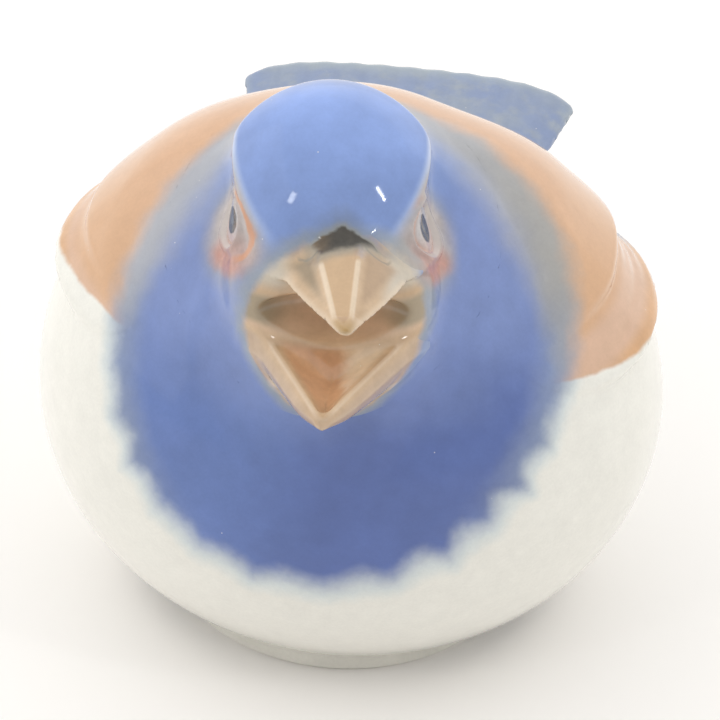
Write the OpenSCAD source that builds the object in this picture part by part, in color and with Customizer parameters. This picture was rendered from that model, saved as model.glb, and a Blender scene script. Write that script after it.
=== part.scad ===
// Small porcelain songbird with an open bill, assembled from luted hollow casts.
// Millimetres, +Z up. The bird looks along -Y and stands on z = 0.

/* [Belly] */
// Width of the belly
belly_w = 78; // [70:1:86]
// Depth of the belly from breast to rump
belly_d = 69; // [62:1:76]
// Height of the belly
belly_h = 68.6; // [62:0.2:75]
// How far the belly is sunk below the level of the foot seat
belly_sink = 9; // [6:0.2:11]
// How far the crown of the back leans to the bird's right
back_lean = 3; // [0:0.1:5]

/* [Rump] */
// Width of the rump
rump_w = 40; // [36:1:44]
// Depth of the rump
rump_d = 48; // [44:1:54]
// Height of the rump
rump_h = 26; // [23:1:30]
// How far the rump reaches behind the belly
rump_reach = 15; // [12:0.5:18]
// Height of the rump above the middle of the belly
rump_up = 5; // [2:0.2:7]

/* [Neck] */
// Width of the neck
neck_w = 42; // [38:1:46]
// Depth of the neck
neck_d = 46; // [42:1:50]
// Height of the neck form
neck_h = 35; // [32:1:40]
// How far the neck stands above the top of the belly
neck_rise = 4.8; // [3:0.2:6]
// Distance of the neck form's middle behind the front of the breast
neck_set = 31; // [28:0.5:33]
// Width of the throat
throat_w = 22; // [18:1:25]
// Depth of the throat
throat_d = 24; // [20:1:27]
// Height of the throat
throat_h = 30; // [27:1:34]
// Tilt of the joint between neck and head
neck_tilt = 30; // [24:1:34]
// Width of the hole that joins the hollows of body and head
neck_hole = 14; // [10:1:16]

/* [Head] */
// Turn of the head to the bird's left
head_turn = 7; // [-12:1:12]
// Distance of the head's axis behind the front of the breast
head_set = 19; // [17:0.5:21]
// Height of the crown above the top of the belly
crown_rise = 13; // [11:0.5:15]
// Width of the dome of the crown
dome_w = 31; // [28:0.5:34]
// Depth of the dome of the crown
dome_d = 32; // [29:0.5:35]
// Height of the dome of the crown
dome_h = 31.8; // [29:0.2:35]
// Width across the flat sides of the head
side_w = 22.6; // [20.6:0.2:24]
// Depth of the head at its flat sides
side_d = 29; // [27:0.5:31]
// Spread of each side of the head for each millimetre down
side_flare = 0.08; // [0:0.01:0.14]
// Sideways set of the crown from the head's axis
crown_skew = -0.6; // [-1:0.1:1]
// Width of each cheek
cheek_w = 10.4; // [9:0.2:12]

/* [Bill] */
// Length of the upper bill in front of the forehead
upper_len = 17; // [14:0.5:20]
// Width of the upper bill at its root
upper_w = 16.4; // [15:0.2:17.4]
// Width of the flat ridge on the upper bill at its root
ridge_w = 5.2; // [4:0.2:7]
// Drop of the ridge from the forehead to the tip
ridge_drop = 3; // [1.5:0.1:3.4]
// Sideways set of the upper bill's root
upper_skew = 1.3; // [0:0.1:1.6]
// Drift of the upper bill to the left from root to tip
upper_drift = 0.4; // [-1:0.1:1]
// Length of the lower bill in front of the throat
lower_len = 16.7; // [14:0.1:19]
// Width of the lower bill at its root
lower_w = 18.6; // [17:0.2:20]
// Depth of the lower bill at its root
lower_h = 8; // [7:0.5:10]
// Drop of the lower bill's rim from root to tip
lower_drop = 0.8; // [0:0.1:3]
// How far the lower bill's cheeks bulge outside its rim
lower_bulge = 1; // [0.4:0.1:1.4]
// Sideways set of the lower bill's root
lower_skew = 0.7; // [0:0.1:1]
// Drift of the lower bill to the right from root to tip
lower_drift = 1.2; // [0:0.1:1.6]
// Depth of the trough in the lower bill at its root
trough_h = 4.2; // [3:0.2:5]
// Thickness of the lower bill's rim
rim = 0.8; // [0.8:0.1:1.6]
// Half height of the open gape between the halves of the bill
gape = 2.6; // [2.2:0.2:3.4]

/* [Eyes] */
// Length of each eye
eye_d = 5.6; // [5:0.2:6]
// Height of each eye
eye_h = 5.6; // [5:0.2:6]
// How far each eye stands out
eye_bulge = 0.5; // [0.5:0.1:0.9]
// Distance of the eyes in front of the head's axis
eye_front = 4.7; // [4:0.1:5.5]
// Height of the eyes below the crown
eye_drop = 12; // [11.6:0.1:13]
// How far the left eye sits in front of and above this place, and the right eye behind and below
eye_skew = 0.8; // [0:0.1:1.2]

/* [Wings] */
// Distance of the wings' front behind the front of the breast
wing_set = 13.5; // [12:0.5:16]
// Distance of the wing tips in front of the rump's end
wing_tip_set = 12.5; // [11:0.5:18]
// Height angle of the wings' lower edges
wing_low = 23.5; // [20:0.5:26]
// How much higher the right wing's edge sits than this, and the left wing's lower
wing_skew = 2.5; // [0:0.5:3]
// Height angle of the step between coverts and flight feathers
wing_step = 32; // [30:1:36]
// Height angle of the wing's upper edge beside the back
wing_high = 76; // [70:1:80]
// How far the coverts stand out from the body
covert_relief = 2.2; // [1.8:0.1:3]
// How much further the left coverts stand out than this, and the right ones less
covert_skew = 0.5; // [0:0.1:0.6]
// How far the flight feathers stand out from the body
flight_relief = 2.2; // [1.4:0.1:2.6]

/* [Tail] */
// Length of the tail behind the rump
tail_len = 12; // [8:0.5:18]
// How far the tail's root is set into the rump
tail_set = 12; // [9:0.5:15]
// Width of the tail at its end
tail_w = 50; // [42:1:54]
// Width of the tail where it leaves the rump
tail_root_w = 36; // [30:1:38]
// Thickness of the tail at its root
tail_root_t = 7; // [5:0.5:9]
// Thickness of the tail at its end
tail_end_t = 3; // [2.2:0.2:3.6]
// Slope of the tail
tail_slope = 7; // [0:1:12]
// Sideways set of the tail
tail_skew = -0.3; // [-1:0.1:1]

/* [Base] */
// Outer width of the foot ring
foot_w = 45; // [42:1:47]
// Inner width of the foot ring
foot_bore = 36; // [33:1:38]
// Height of the foot ring
foot_h = 3.3; // [2.8:0.1:4]
// How far the base plate is set up inside the foot ring
plate_recess = 1.2; // [0.8:0.1:1.6]
// Width of the vent hole that lets air out of the hollow in the kiln
vent = 3.4; // [2:0.2:3.8]

/* [Making] */
// Wall of the hollow body
body_wall = 3.2; // [2.6:0.2:3.8]
// Wall of the hollow head
head_wall = 2.4; // [2:0.2:2.8]
// Gap that the slip fills where two casts are luted together
seam = 0.18; // [0.14:0.01:0.22]

/* [Hidden] */
$fn = 96;

// Radii of the soft transitions between the forms
soft_rump = 8;
soft_neck = 8;
soft_throat = 6;
soft_face = 2;
soft_crown = 4;
soft_cheek = 3;
soft_brow = 0.9;
soft_nape = 6;
soft_mouth = 0.6;

// Roots of both halves of the bill in front of the head's axis
upper_root = 10.2;
lower_root = 12.2;

// The belly stands so that bill and tail reach equally far from the origin
bill_reach = (lower_root + lower_len)*cos(head_turn) - head_set;
tail_reach = rump_reach + tail_len;
foot_seat = foot_h + seam;
belly_c = [0, (bill_reach - tail_reach)/2, foot_seat - belly_sink + belly_h/2];
foot_c = [0, belly_c.y, foot_seat];

// Places of the forms, all measured from the belly
belly_top = belly_c.z + belly_h/2;
breast = belly_c.y - belly_d/2;
rump_end = belly_c.y + belly_d/2 + rump_reach;
rump_c = [0, rump_end - rump_d/2, belly_c.z + rump_up];
neck_c = [-0.5, breast + neck_set, belly_top - neck_h/2 + neck_rise];
head_axis = [-0.5, breast + head_set];
crown = belly_top + crown_rise;
dome_c = [crown_skew, 2.8, crown - dome_h/2];
side_c = [crown_skew, 0.8, crown - 7];
cheek_r = [cheek_w/2, 6, 6.5];
cheek_c = [6.2, -8.2, crown - 18.4];
throat_c = [0, -5.2, crown - 25];
mouth_c = [0.5, -16.2, crown - 17.5];
mouth_r = [9.4, 5.4, gape];
// The fold where the floor of the mouth drops into the lower bill
fold = [0, -14.9, crown - 20.3];
joint_c = [head_axis.x, head_axis.y, crown - 19.5];
joint_n = [0, -sin(neck_tilt), cos(neck_tilt)];

function mix(a, b, t) = a + (b - a)*t;
function clamp(t) = min(max(t, 0), 1);
function ease(a, b, v) = let (t = clamp((v - a)/(b - a))) t*t*(3 - 2*t);

// Signed distances: negative inside a form
function ball(p, c, r) =
    let (q = p - c, a = [q.x/r.x, q.y/r.y, q.z/r.z], k = norm(a))
    k*(k - 1)/max(norm([a.x/r.x, a.y/r.y, a.z/r.z]), 0.001);
function join(a, b, k) = min(a, b) - pow(max(k - abs(a - b), 0), 2)/(4*k);
function meet(a, b, k) = -join(-a, -b, k);

// The head's own coordinates: its axis at x = y = 0, bill along -y
function to_head(p) =
    let (x = p.x - head_axis.x, y = p.y - head_axis.y, c = cos(head_turn), s = sin(head_turn))
    [c*x + s*y, c*y - s*x, p.z];
function from_head(p) =
    let (c = cos(head_turn), s = sin(head_turn))
    [head_axis.x + c*p.x - s*p.y, head_axis.y + s*p.x + c*p.y, p.z];

function leaned(p) =
    let (h = max(p.z - belly_c.z, 0)/(belly_h/2)) [p.x + back_lean*h*h, p.y, p.z];
function torso(p) =
    let (q = leaned(p))
    join(
        join(ball(q, belly_c, [belly_w, belly_d, belly_h]/2),
            ball(q, rump_c, [rump_w, rump_d, rump_h]/2), soft_rump),
        ball(p, neck_c, [neck_w, neck_d, neck_h]/2), soft_neck);
function sides(q) =
    let (
        spread = side_flare*(side_c.z - q.z),
        a = [(q.x - side_c.x)/(side_w/2 + spread), (q.y - side_c.y)/(side_d/2)])
    (norm(a) - 1)*side_w/2;
function skull(q) =
    let (m = [abs(q.x), q.y, q.z])
    join(
        meet(ball(q, dome_c, [dome_w, dome_d, dome_h]/2), sides(q),
            soft_brow + soft_nape*ease(2, 10, q.y)),
        ball(m, cheek_c, cheek_r), soft_cheek);
function skin(p) =
    let (q = to_head(p), t = torso(p))
    q.z < joint_c.z - 20 ? t :
    join(
        join(t, ball(q, throat_c, [throat_w, throat_d, throat_h]/2), soft_throat),
        skull(q), soft_face + soft_crown*ease(0, 10, q.y));
function mouth(q) = meet(ball(q, mouth_c, mouth_r), fold.z - q.z + 0.12*(q.y - fold.y), 0.8);
function open_skin(p) = meet(skin(p), -mouth(to_head(p)), soft_mouth);

// First crossing of f along a ray, by false position
function crossing(f, o, d, a, fa, b, fb, n, side = 0) =
    let (m = (a*fb - b*fa)/(fb - fa))
    n == 0 ? m :
    let (fm = f(o + d*m))
    fm < 0 ? crossing(f, o, d, m, fm, b, side < 0 ? fb/2 : fb, n - 1, -1)
        : crossing(f, o, d, a, side > 0 ? fa/2 : fa, m, fm, n - 1, 1);
function reach(f, o, d, far) = crossing(f, o, d, 0, f(o), far, f(o + d*far), 12);
function cast(f, o, d, far) = o + d*reach(f, o, d, far);

function unit(v) = v/norm(v);
function turned(a, b, t) =
    let (w = acos(a*b)) (sin((1 - t)*w)*a + sin(t*w)*b)/sin(w);

// A closed skin over rings of points, capped at two points or joined end to end
module rings(r, first, last) {
    n = len(r);
    m = len(r[0]);
    capped = !is_undef(first);
    rows = capped ? n - 1 : n;
    flat = [for (ring = r) each ring];
    walls = [for (i = [0:rows - 1], j = [0:m - 1])
        let (a = i*m + j, b = i*m + (j + 1)%m, c = ((i + 1)%n)*m + (j + 1)%m, d = ((i + 1)%n)*m + j)
        each [[a, b, c], [a, c, d]]];
    caps = capped ? [for (j = [0:m - 1]) each
        [[n*m, (j + 1)%m, j], [n*m + 1, (n - 1)*m + j, (n - 1)*m + (j + 1)%m]]] : [];
    polyhedron(capped ? concat(flat, [first, last]) : flat, concat(walls, caps));
}

// A closed solid over stacked sheets of points g[sheet][across][along]
module sheets(g) {
    k = len(g) - 1;
    n = len(g[0]) - 1;
    m = len(g[0][0]) - 1;
    i2 = floor(n/2);
    j2 = floor(m/2);
    mirrored = cross(g[0][n][j2] - g[0][0][j2], g[0][i2][m] - g[0][i2][0])*(g[k][i2][j2] - g[0][i2][j2]) < 0;
    function at(s, i, j) = (s*(n + 1) + i)*(m + 1) + j;
    function quad(a, b, c, d) = mirrored ? [[a, c, b], [a, d, c]] : [[a, b, c], [a, c, d]];
    polyhedron(
        [for (sheet = g, row = sheet) each row],
        [
            for (i = [0:n - 1], j = [0:m - 1]) each concat(
                quad(at(0, i, j), at(0, i + 1, j), at(0, i + 1, j + 1), at(0, i, j + 1)),
                quad(at(k, i, j), at(k, i, j + 1), at(k, i + 1, j + 1), at(k, i + 1, j))),
            for (s = [0:k - 1], j = [0:m - 1]) each concat(
                quad(at(s, 0, j), at(s, 0, j + 1), at(s + 1, 0, j + 1), at(s + 1, 0, j)),
                quad(at(s, n, j), at(s + 1, n, j), at(s + 1, n, j + 1), at(s, n, j + 1))),
            for (s = [0:k - 1], i = [0:n - 1]) each concat(
                quad(at(s, i, 0), at(s + 1, i, 0), at(s + 1, i + 1, 0), at(s, i + 1, 0)),
                quad(at(s, i, m), at(s, i + 1, m), at(s + 1, i + 1, m), at(s + 1, i, m)))
        ]);
}

body_columns = 60;
body_rows = 26;
hollow_rows = 15;
head_columns = 60;
head_rows = 25;
head_hollow_rows = 8;
// Height above the joint of the point that the head's skin is seen from
core_up = 10;
joint_x = [1, 0, 0];
joint_y = [0, cos(neck_tilt), sin(neck_tilt)];

function around(v) = joint_x*cos(v) + joint_y*sin(v);
function level(v) = [cos(v), sin(v), 0];
function along_joint(p) = (p - joint_c)*joint_n;
function ring_between(f, o, a, b, t, far) =
    [for (i = [0:len(a) - 1]) cast(f, o, turned(unit(a[i] - o), unit(b[i] - o), t), far)];

module body_shell() {
    far = belly_w;
    angles = [for (i = [0:body_columns - 1]) 360*i/body_columns];
    hole = neck_hole/2;
    mouth = foot_bore/2 - body_wall;
    inside = function(p) max(skin(p), foot_seat - p.z, along_joint(p)) + body_wall;
    neck_edge = [for (v = angles) cast(function(p) skin(p), joint_c, around(v), far)];
    foot_edge = [for (v = angles) cast(function(p) skin(p), foot_c, level(v), far)];
    hollow_top = [for (v = angles) joint_c - joint_n*body_wall + around(v)*hole];
    hollow_foot = [for (v = angles) foot_c + [0, 0, body_wall] + level(v)*mouth];
    color("white") rings(concat(
        [[for (v = angles) joint_c + around(v)*hole], neck_edge],
        [for (i = [1:body_rows])
            ring_between(function(p) skin(p), belly_c, neck_edge, foot_edge, i/(body_rows + 1), far)],
        [foot_edge, [for (v = angles) foot_c + level(v)*mouth], hollow_foot],
        [for (i = [1:hollow_rows])
            ring_between(inside, belly_c, hollow_foot, hollow_top, i/(hollow_rows + 1), far)],
        [hollow_top]));
}

module head_shell() {
    far = 40;
    angles = [for (i = [0:head_columns - 1]) 360*i/head_columns];
    core = joint_c + joint_n*core_up;
    base = joint_c + joint_n*seam;
    hole = neck_hole/2;
    outside = function(p) open_skin(p);
    inside = function(p) max(open_skin(p), seam - along_joint(p)) + head_wall;
    edge = [for (v = angles) cast(outside, base, around(v), far)];
    hollow_edge = [for (v = angles) base + joint_n*head_wall + around(v)*hole];
    top = cast(outside, core, joint_n, far);
    hollow_top = cast(inside, core, joint_n, far);
    color("cornflowerblue") rings(concat(
        [for (i = [1:head_rows]) [for (p = edge)
            cast(outside, core, turned(joint_n, unit(p - core), i/(head_rows + 1)), far)]],
        [edge, [for (v = angles) base + around(v)*hole], hollow_edge],
        [for (i = [1:head_hollow_rows]) [for (p = hollow_edge)
            cast(inside, core, turned(unit(p - core), joint_n, i/(head_hollow_rows + 1)), far)]]),
        top, hollow_top);
}

// A solid that grows out of a skin: place(s, a, f) runs along s from the skin to 1,
// across with a from -1 to 1 and up with f from 0 to 1. At s = buried it is all inside the skin.
module grown(place, ground, buried, along, across, up) {
    sheets([for (k = [0:up]) [for (i = [0:across])
        let (
            a = 2*i/across - 1,
            f = k/up,
            gap = function(p) ground(place(p.x, a, f)) - seam,
            start = crossing(gap, [0, 0, 0], [1, 0, 0], buried, gap([buried, 0, 0]), 1, gap([1, 0, 0]), 14))
        [for (j = [0:along]) place(mix(start, 1, j/along), a, f)]]]);
}

forehead = crown - 9.3;
tomium = crown - 13.9;
lower_rim = crown - 20.6;
// Part of each bill's length that starts inside the head
bill_buried = -0.4;

module upper_mandible() {
    place = function(s, a, f)
        let (
            t = clamp(s),
            w = (upper_w/2 - 0.6)*(1 - pow(t, 1.35)) + 0.6,
            top = min(mix(ridge_w/2, 0.4, t), w),
            bottom = tomium + 2*s,
            high = max(forehead - ridge_drop*(0.35*s + 0.65*s*s), bottom + 0.9))
        from_head([
            upper_skew + upper_drift*t + a*mix(w, top, pow(f, 0.85)),
            -upper_root - s*upper_len,
            mix(bottom, high, f)]);
    color("tan") grown(place, function(p) skin(p), bill_buried, 12, 12, 5);
}

module lower_mandible() {
    fold_s = (-fold.y - lower_root)/lower_len;
    place = function(s, a, f)
        let (
            t = clamp(s),
            w = (lower_w/2 - 0.5)*(1 - pow(t, 0.95)) + 0.5,
            h = (lower_h - 1.6)*(1 - pow(t, 1.5)) + 1.6,
            edge = lower_rim - lower_drop*s,
            down = pow(cos(90*a), 0.83),
            outer_w = w + lower_bulge*ease(0, 0.3, down)*ease(1.02, 0.7, t),
            trough = mix(trough_h, 0.9, t)*ease(fold_s - 0.03, fold_s + 0.05, s)*ease(1, 0.92, s),
            inner_w = max(w - rim, 0.2))
        from_head([
            lower_skew - lower_drift*t + mix(outer_w*sin(90*a), inner_w*a, f),
            -lower_root - s*lower_len,
            edge - mix(h*down, trough*(1 - pow(abs(a), 1.1)), f)]);
    color("burlywood") grown(place, function(p) skin(p), bill_buried, 16, 16, 4);
}

// A raised lens that lies on the side of the head
module eye(side) {
    columns = 32;
    rows = 5;
    middle = [-eye_front - side*eye_skew, crown - eye_drop + side*eye_skew/2];
    side_reach = function(y, z)
        reach(function(p) skin(from_head(p)), [0, y, z], [side, 0, 0], 20);
    lens = function(r, v, lift)
        let (y = middle.x + r*cos(v)*eye_d/2, z = middle.y + r*sin(v)*eye_h/2)
        from_head([side*(side_reach(y, z) + lift), y, z]);
    shape = function(r, lift) [for (j = [0:columns - 1]) lens(r, side*360*j/columns, lift)];
    bulge = function(r) seam + 0.4 + (eye_bulge - 0.4)*(1 - r*r);
    color("lightsteelblue") rings(concat(
        [for (i = [1:rows]) shape(i/rows, bulge(i/rows))],
        [for (i = [rows:-1:1]) shape(i/rows, seam)]),
        lens(0, 0, bulge(0)), lens(0, 0, seam));
}
module left_eye() { eye(1); }
module right_eye() { eye(-1); }

wing_front = breast + wing_set;
wing_len = rump_end - wing_tip_set - wing_front;
wing_front_angle = 44;
wing_columns = 22;
wing_rows = 16;
flight_rows = 5;
// Both ends of the wing's outline are round: it opens behind the front and closes at the tip
function opening(t, span) = sqrt(1 - pow(1 - clamp(t/span), 2));
function closing(t, span) = opening(1 - t, span);
function step_edge(t) = mix(wing_front_angle, wing_step + 8*ease(0.5, 1, t), opening(t, 0.3));
function low_edge(t, side) =
    mix(step_edge(t) - 2, wing_low - side*wing_skew, opening(t, 0.25)*closing(t, 0.5));
function high_edge(t) = mix(step_edge(t) + 3, wing_high, ease(0.02, 0.42, t)*closing(t, 0.55));
function fade(t) = ease(0, 0.3, t)*ease(1, 0.72, t);

// Relief that follows the body between two height angles
module plumage(side, from, to, relief, along, across) {
    axis = belly_c.z;
    point = function(t, v, lift)
        cast(function(p) skin(p) - lift, [0, wing_front + t*wing_len, axis],
            [side*cos(v), 0, sin(v)], 60);
    function row(i, j, lift) =
        let (t = j/along, v = mix(from(t), to(t), side > 0 ? i/across : 1 - i/across))
        point(t, v, lift(t, v));
    color("burlywood") sheets([
        [for (i = [0:across]) [for (j = [0:along]) row(i, j, function(t, v) seam)]],
        [for (i = [0:across]) [for (j = [0:along]) row(i, j, relief)]]]);
}
edge_t = 0.7;
module wing(side) {
    lift = covert_relief + side*covert_skew;
    plumage(side, function(t) step_edge(t) + 0.5, function(t) high_edge(t),
        function(t, v)
            let (low = step_edge(t), high = high_edge(t), w = (v - low)/(high - low))
            edge_t + (lift - edge_t)*fade(t)*ease(0, 0.1, w)*ease(1.1, 0.4, w),
        wing_columns, wing_rows);
}
// The feathers' lip is highest at its lower edge and sinks into a groove below the coverts
module flight_feathers(side) {
    plumage(side, function(t) low_edge(t, side), function(t) step_edge(t),
        function(t, v)
            let (sunk = mix(1, 0.5, ease(1.5, 7, v - low_edge(t, side))))
            edge_t + (flight_relief*sunk - edge_t)*fade(t),
        wing_columns, flight_rows);
}
module left_wing() { wing(1); }
module right_wing() { wing(-1); }
module left_flight_feathers() { flight_feathers(1); }
module right_flight_feathers() { flight_feathers(-1); }

tail_c = [tail_skew, rump_end - tail_set, rump_c.z + 3];
tail_columns = 24;
tail_rows = 12;
module tail() {
    place = function(s, a, f)
        let (
            sweep = 1 - 0.17*pow(abs(a), 6),
            y = (tail_set + tail_len)*s*(s > 0 ? sweep : 1),
            half = mix(tail_root_w, tail_w, clamp(s))/2,
            thick = mix(tail_end_t, tail_root_t, exp(-3.5*max(s, 0)))*(1 - 0.6*pow(a, 4)),
            x = a*half)
        [tail_c.x + x, tail_c.y + y, tail_c.z + y*tan(tail_slope) - 1.2*a*a + (f - 0.5)*thick];
    color("royalblue") grown(place, function(p) skin(p), -0.8, tail_rows, tail_columns, 5);
}

module foot_ring() {
    color("ivory") translate([foot_c.x, foot_c.y, 0]) rotate_extrude() polygon([
        [foot_bore/2, 0.6], [foot_bore/2 + 0.6, 0], [foot_w/2 - 0.6, 0], [foot_w/2, 0.6],
        [foot_w/2, foot_h], [foot_bore/2, foot_h]]);
}

module base_plate() {
    color("ivory") translate([foot_c.x, foot_c.y, 0]) difference() {
        translate([0, 0, plate_recess]) cylinder(d = foot_bore - 2*seam, h = foot_h - plate_recess);
        translate([0, 0, plate_recess - 1]) cylinder(d = vent, h = foot_h - plate_recess + 2);
    }
}

body_shell();
head_shell();
upper_mandible();
lower_mandible();
left_eye();
right_eye();
left_wing();
right_wing();
left_flight_feathers();
right_flight_feathers();
tail();
foot_ring();
base_plate();
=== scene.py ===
"""Looks of the porcelain bird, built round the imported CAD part.

The bird's skin is one field of distances: soft unions of the same forms as the CAD part, with the same
sizes. It is meshed once for the body and once, finer, for the head, cut into the named pieces, and each
piece gets its wall. The paint is a set of distances to painted outlines, measured over the same skin and
kept as mesh attributes, which the materials' nodes turn into colours.
Lengths are millimetres up to the moment a mesh is made.
"""
import math

import bpy
import numpy as np
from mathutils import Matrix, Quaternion, Vector


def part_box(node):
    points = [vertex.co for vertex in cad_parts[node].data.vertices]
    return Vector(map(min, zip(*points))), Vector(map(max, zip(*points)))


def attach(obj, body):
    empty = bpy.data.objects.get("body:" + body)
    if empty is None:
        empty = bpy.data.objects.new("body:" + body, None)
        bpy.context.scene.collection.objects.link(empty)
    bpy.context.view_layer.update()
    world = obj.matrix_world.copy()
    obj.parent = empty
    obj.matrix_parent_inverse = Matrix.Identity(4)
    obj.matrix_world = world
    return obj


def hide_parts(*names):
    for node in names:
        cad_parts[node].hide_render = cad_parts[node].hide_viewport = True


MM = 0.001
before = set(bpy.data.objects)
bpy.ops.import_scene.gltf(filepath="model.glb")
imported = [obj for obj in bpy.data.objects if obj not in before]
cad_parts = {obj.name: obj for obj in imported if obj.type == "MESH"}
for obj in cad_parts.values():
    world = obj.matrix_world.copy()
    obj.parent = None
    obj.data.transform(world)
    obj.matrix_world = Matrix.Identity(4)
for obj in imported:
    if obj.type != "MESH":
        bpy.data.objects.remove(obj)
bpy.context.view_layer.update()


def corners(node):
    """Lowest and highest corner of a CAD node, in millimetres."""
    low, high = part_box(node)
    return np.array(low) / MM, np.array(high) / MM


# ---------------------------------------------------------------- forms, as in the CAD part

foot_low, foot_high = corners("foot_ring")
foot_seat, crown = corners("body_shell")[0][2], corners("head_shell")[1][2]

belly_size = np.array([78.0, 69.0, 68.6])
belly_c = np.array([0, (foot_low[1] + foot_high[1]) / 2, foot_seat - 9 + belly_size[2] / 2])
back_lean = 3
breast = belly_c[1] - belly_size[1] / 2
rump_end = belly_c[1] + belly_size[1] / 2 + 15
rump_size = np.array([40.0, 48.0, 26.0])
rump_c = np.array([0, rump_end - rump_size[1] / 2, belly_c[2] + 5])
neck_size = np.array([42.0, 46.0, 35.0])
neck_c = np.array([-0.5, breast + 31, belly_c[2] + belly_size[2] / 2 - neck_size[2] / 2 + 4.8])
HEAD_TURN = math.radians(7)
head_axis = np.array([-0.5, breast + 19])
dome_size = np.array([31.0, 32.0, 31.8])
dome_c = np.array([-0.6, 2.8, crown - dome_size[2] / 2])
side_size, side_flare = np.array([22.6, 29.0]), 0.08
side_c = np.array([-0.6, 0.8, crown - 7])
cheek_r, cheek_c = np.array([5.2, 6.0, 6.5]), np.array([6.2, -8.2, crown - 18.4])
throat_size, throat_c = np.array([22.0, 24.0, 30.0]), np.array([0, -5.2, crown - 25])
mouth_r, mouth_c = np.array([9.4, 5.4, 2.6]), np.array([0.5, -16.2, crown - 17.5])
NECK_TILT = math.radians(30)
joint_c = np.array([head_axis[0], head_axis[1], crown - 19.5])
joint_n = np.array([0, -math.sin(NECK_TILT), math.cos(NECK_TILT)])
forehead, tomium, lower_rim = crown - 9.3, crown - 13.9, crown - 20.6
upper_root, upper_len, upper_w, ridge_w, ridge_drop = 10.2, 17.0, 16.4, 5.2, 3.0
lower_root, lower_len, lower_w, lower_h, lower_drop, rim = 12.2, 16.7, 18.6, 8.0, 0.8, 0.8
upper_lean, lower_lean = np.array([1.3, 1.7]), np.array([0.7, -0.5])
fold = np.array([0, -14.9, crown - 20.3])
lore_c, lore_r = np.array([9.6, -9.6, crown - 13.4]), np.array([2.2, 2.4, 2.2])
eye_c, eye_r = np.array([0, -4.7, crown - 12]), np.array([2.8, 2.8])
eye_skew = np.array([-0.8, 0.4])
wing_front, wing_len = breast + 13.5, 58.0
tail_c = np.array([-0.3, rump_end - 12, rump_c[2] + 3])
tail_reach, tail_root_w, tail_w, tail_root_t, tail_end_t = 24.0, 36.0, 50.0, 7.0, 3.0
TAIL_SLOPE = math.tan(math.radians(7))
VANE, TAIL_VANES = 2.6, 6  # degrees of height for each flight feather, and vanes on half the tail


def norm(v):
    return np.sqrt((v * v).sum(-1))


def clamp(v):
    return np.clip(v, 0, 1)


def ease(a, b, v):
    t = clamp((v - a) / (b - a))
    return t * t * (3 - 2 * t)


def mix(a, b, t):
    return a + (b - a) * t


def join(a, b, k):
    """Union of two distances with a soft transition k wide."""
    return np.minimum(a, b) - np.maximum(k - np.abs(a - b), 0) ** 2 / (4 * k)


def meet(a, b, k):
    return -join(-a, -b, k)


def ball(p, c, r):
    a = (p - c) / r
    k = norm(a)
    return k * (k - 1) / np.maximum(norm(a / r), 0.001)


def to_head(p):
    """The head's own coordinates: its axis at x = y = 0, bill along -y."""
    x, y = p[:, 0] - head_axis[0], p[:, 1] - head_axis[1]
    c, s = math.cos(HEAD_TURN), math.sin(HEAD_TURN)
    return np.stack([c * x + s * y, c * y - s * x, p[:, 2]], 1)


def mirrored(p):
    return np.concatenate([np.abs(p[:, :1]), p[:, 1:]], 1)


def torso(p):
    rise = np.maximum(p[:, 2] - belly_c[2], 0) / (belly_size[2] / 2)
    q = p + np.stack([back_lean * rise * rise, 0 * rise, 0 * rise], 1)
    trunk = join(ball(q, belly_c, belly_size / 2), ball(q, rump_c, rump_size / 2), 8)
    return join(trunk, ball(p, neck_c, neck_size / 2), 8)


def cap_and_sides(q):
    """The dome of the head and its flat sides, which are sunk a little below the dome's edge."""
    across = (q[:, 0] - side_c[0]) / (side_size[0] / 2 + side_flare * (side_c[2] - q[:, 2]))
    flat = np.hypot(across, (q[:, 1] - side_c[1]) / (side_size[1] / 2))
    cap = ball(q, dome_c, dome_size / 2)
    socket = 0.6 * ease(0, -2, cap) * ease(-6, -3, cap) * ease(6, 1, q[:, 1]) * ease(-9, -5, q[:, 1])
    return cap, (flat - 1) * side_size[0] / 2 + socket


def cap_edge(q):
    """Distance above the edge between the dome and the sides."""
    cap, sides = cap_and_sides(q)
    return cap - sides


def skull(q):
    cap, sides = cap_and_sides(q)
    head = meet(cap, sides, 0.9 + 6 * ease(2, 10, q[:, 1]))
    head = meet(head, -ball(mirrored(q - [side_c[0], 0, 0]), lore_c, lore_r), 1.5)
    return join(head, ball(mirrored(q), cheek_c, cheek_r), 3)


def plain_skin(p, q):
    """Body and head without wings, eyes, bill and tail."""
    trunk = torso(p)
    soft = join(join(trunk, ball(q, throat_c, throat_size / 2), 6), skull(q), 2 + 4 * ease(0, 10, q[:, 1]))
    return np.where(q[:, 2] < joint_c[2] - 20, trunk, soft)


# ---------------------------------------------------------------- wings, as heights over the body


def opening(t, span):
    return np.sqrt(1 - (1 - clamp(t / span)) ** 2)


def closing(t, span):
    return opening(1 - t, span)


def wing_place(p):
    """t runs along the wing from its front to its tip, v is the height angle round the body's long axis."""
    v = np.degrees(np.arctan2(p[:, 2] - belly_c[2], np.abs(p[:, 0])))
    return (p[:, 1] - wing_front) / wing_len, v


def step_edge(t):
    return mix(44, 32 + 8 * ease(0.5, 1, t), opening(t, 0.3))


def low_edge(t, side):
    """The bird's right wing sits a little higher."""
    return mix(step_edge(t) - 2, 23.5 - 2.5 * side, opening(t, 0.25) * closing(t, 0.5))


def high_edge(t):
    return mix(step_edge(t) + 3, 76, ease(0.02, 0.42, t) * closing(t, 0.55))


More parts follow.
